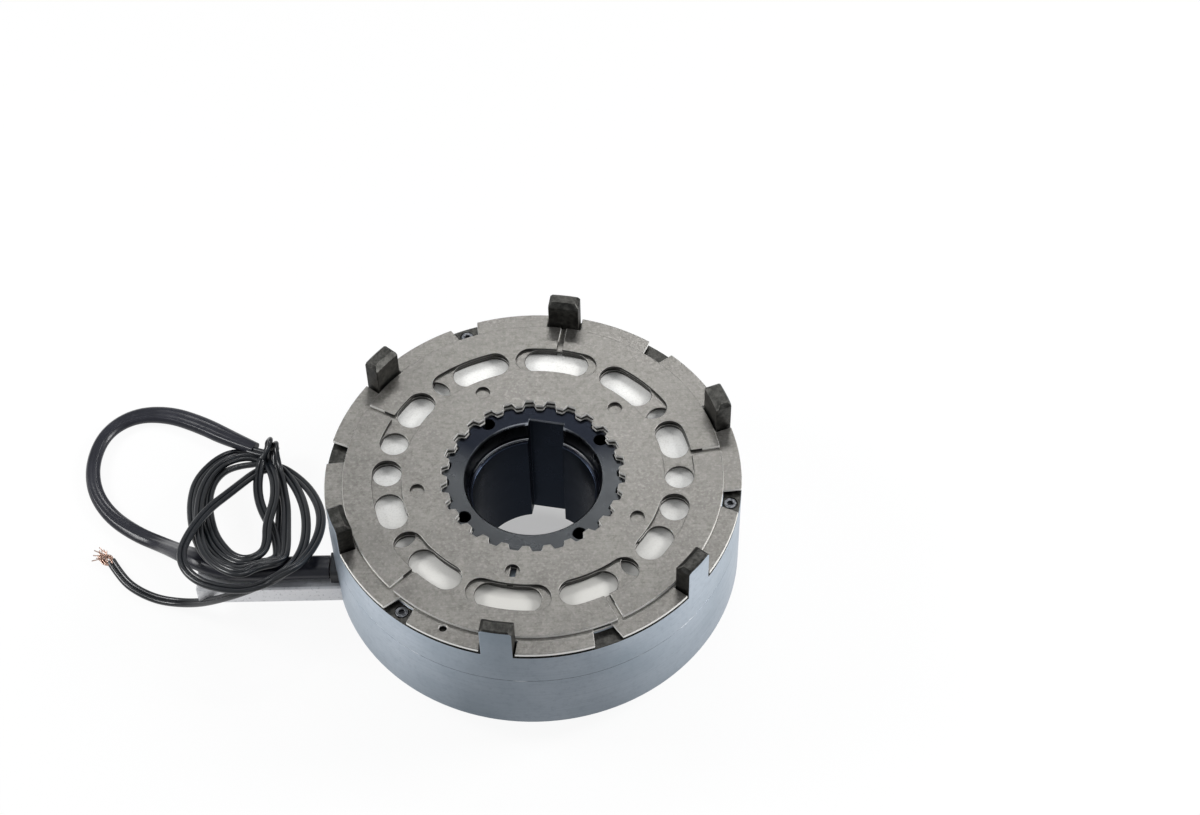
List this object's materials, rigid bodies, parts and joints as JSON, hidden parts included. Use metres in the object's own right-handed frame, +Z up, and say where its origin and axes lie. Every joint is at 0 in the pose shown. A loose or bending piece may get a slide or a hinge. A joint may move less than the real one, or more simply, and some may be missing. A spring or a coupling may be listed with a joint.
{
  "type": "clutch brake unit",
  "caption": "Electromagnetic multi-disc clutch brake unit: magnet body on a bearing-mounted toothed hub, slotted friction discs in a finger ring, torque arm and wound-up lead.",
  "frame": {"origin": "on the bore axis, level with the hub's lower end, on which the unit stands", "axes": "+Z up along the bore, out of the toothed end; the torque arm points along -X"},
  "size_m": [0.3132, 0.185, 0.085],
  "materials": {
    "ground_steel": "ground, blue-grey",
    "lapped_steel": "lapped, warm grey",
    "bare_steel": "cold drawn",
    "black_steel": "black oxide, oiled",
    "bearing_steel": "polished",
    "cage_brass": "satin",
    "copper": "bare copper",
    "potting_resin": "cast resin, cream white",
    "bobbin_plastic": "moulded",
    "black_rubber": "matt",
    "black_sleeve": "satin insulation"
  },
  "bodies": {
    "magnet": {"magnet_body": "ground_steel", "finger_ring": "ground_steel", "ring_screws": "black_steel", "coil_bobbin": "bobbin_plastic", "coil_winding": "copper", "coil_potting": "potting_resin", "bearing_outer_race": "bearing_steel", "bearing_shield_upper": "bearing_steel", "bearing_shield_lower": "bearing_steel", "body_retaining_ring": "black_steel", "torque_arm": "bare_steel", "arm_screws": "black_steel", "cable_grommet": "black_rubber", "lead_sleeve": "black_sleeve", "lead_hank": "black_sleeve", "lead_tail": "black_sleeve", "copper_strands": "copper"},
    "hub": {"hub": "black_steel", "bearing_inner_race": "bearing_steel", "hub_retaining_ring": "black_steel"},
    "cage": {"bearing_cage": "cage_brass", "bearing_balls": "bearing_steel"},
    "lower_disc": {"inner_disc_lower": "lapped_steel"},
    "outer_disc": {"outer_disc": "lapped_steel"},
    "upper_disc": {"inner_disc_upper": "lapped_steel"}
  },
  "joints": [
    {"name": "hub_spin", "type": "hinge", "parent": "magnet", "child": "hub", "pos_m": [0, 0, 0.03], "axis": [0, 0, 1], "continuous": true},
    {"name": "cage_spin", "type": "hinge", "parent": "magnet", "child": "cage", "pos_m": [0, 0, 0.0305], "axis": [0, 0, 1], "continuous": true},
    {"name": "upper_disc_slide", "type": "slide", "parent": "hub", "child": "upper_disc", "axis": [0, 0, 1], "range_m": [0, 0.0045]},
    {"name": "outer_disc_slide", "type": "slide", "parent": "magnet", "child": "outer_disc", "axis": [0, 0, 1], "range_m": [0, 0.003]},
    {"name": "lower_disc_slide", "type": "slide", "parent": "hub", "child": "lower_disc", "axis": [0, 0, 1], "range_m": [0, 0.0015]}
  ],
  "couplings": [
    {"joint": "cage_spin", "follows": "hub_spin", "ratio": 0.4441},
    {"joint": "outer_disc_slide", "follows": "upper_disc_slide", "ratio": 0.6666},
    {"joint": "lower_disc_slide", "follows": "upper_disc_slide", "ratio": 0.3333}
  ]
}
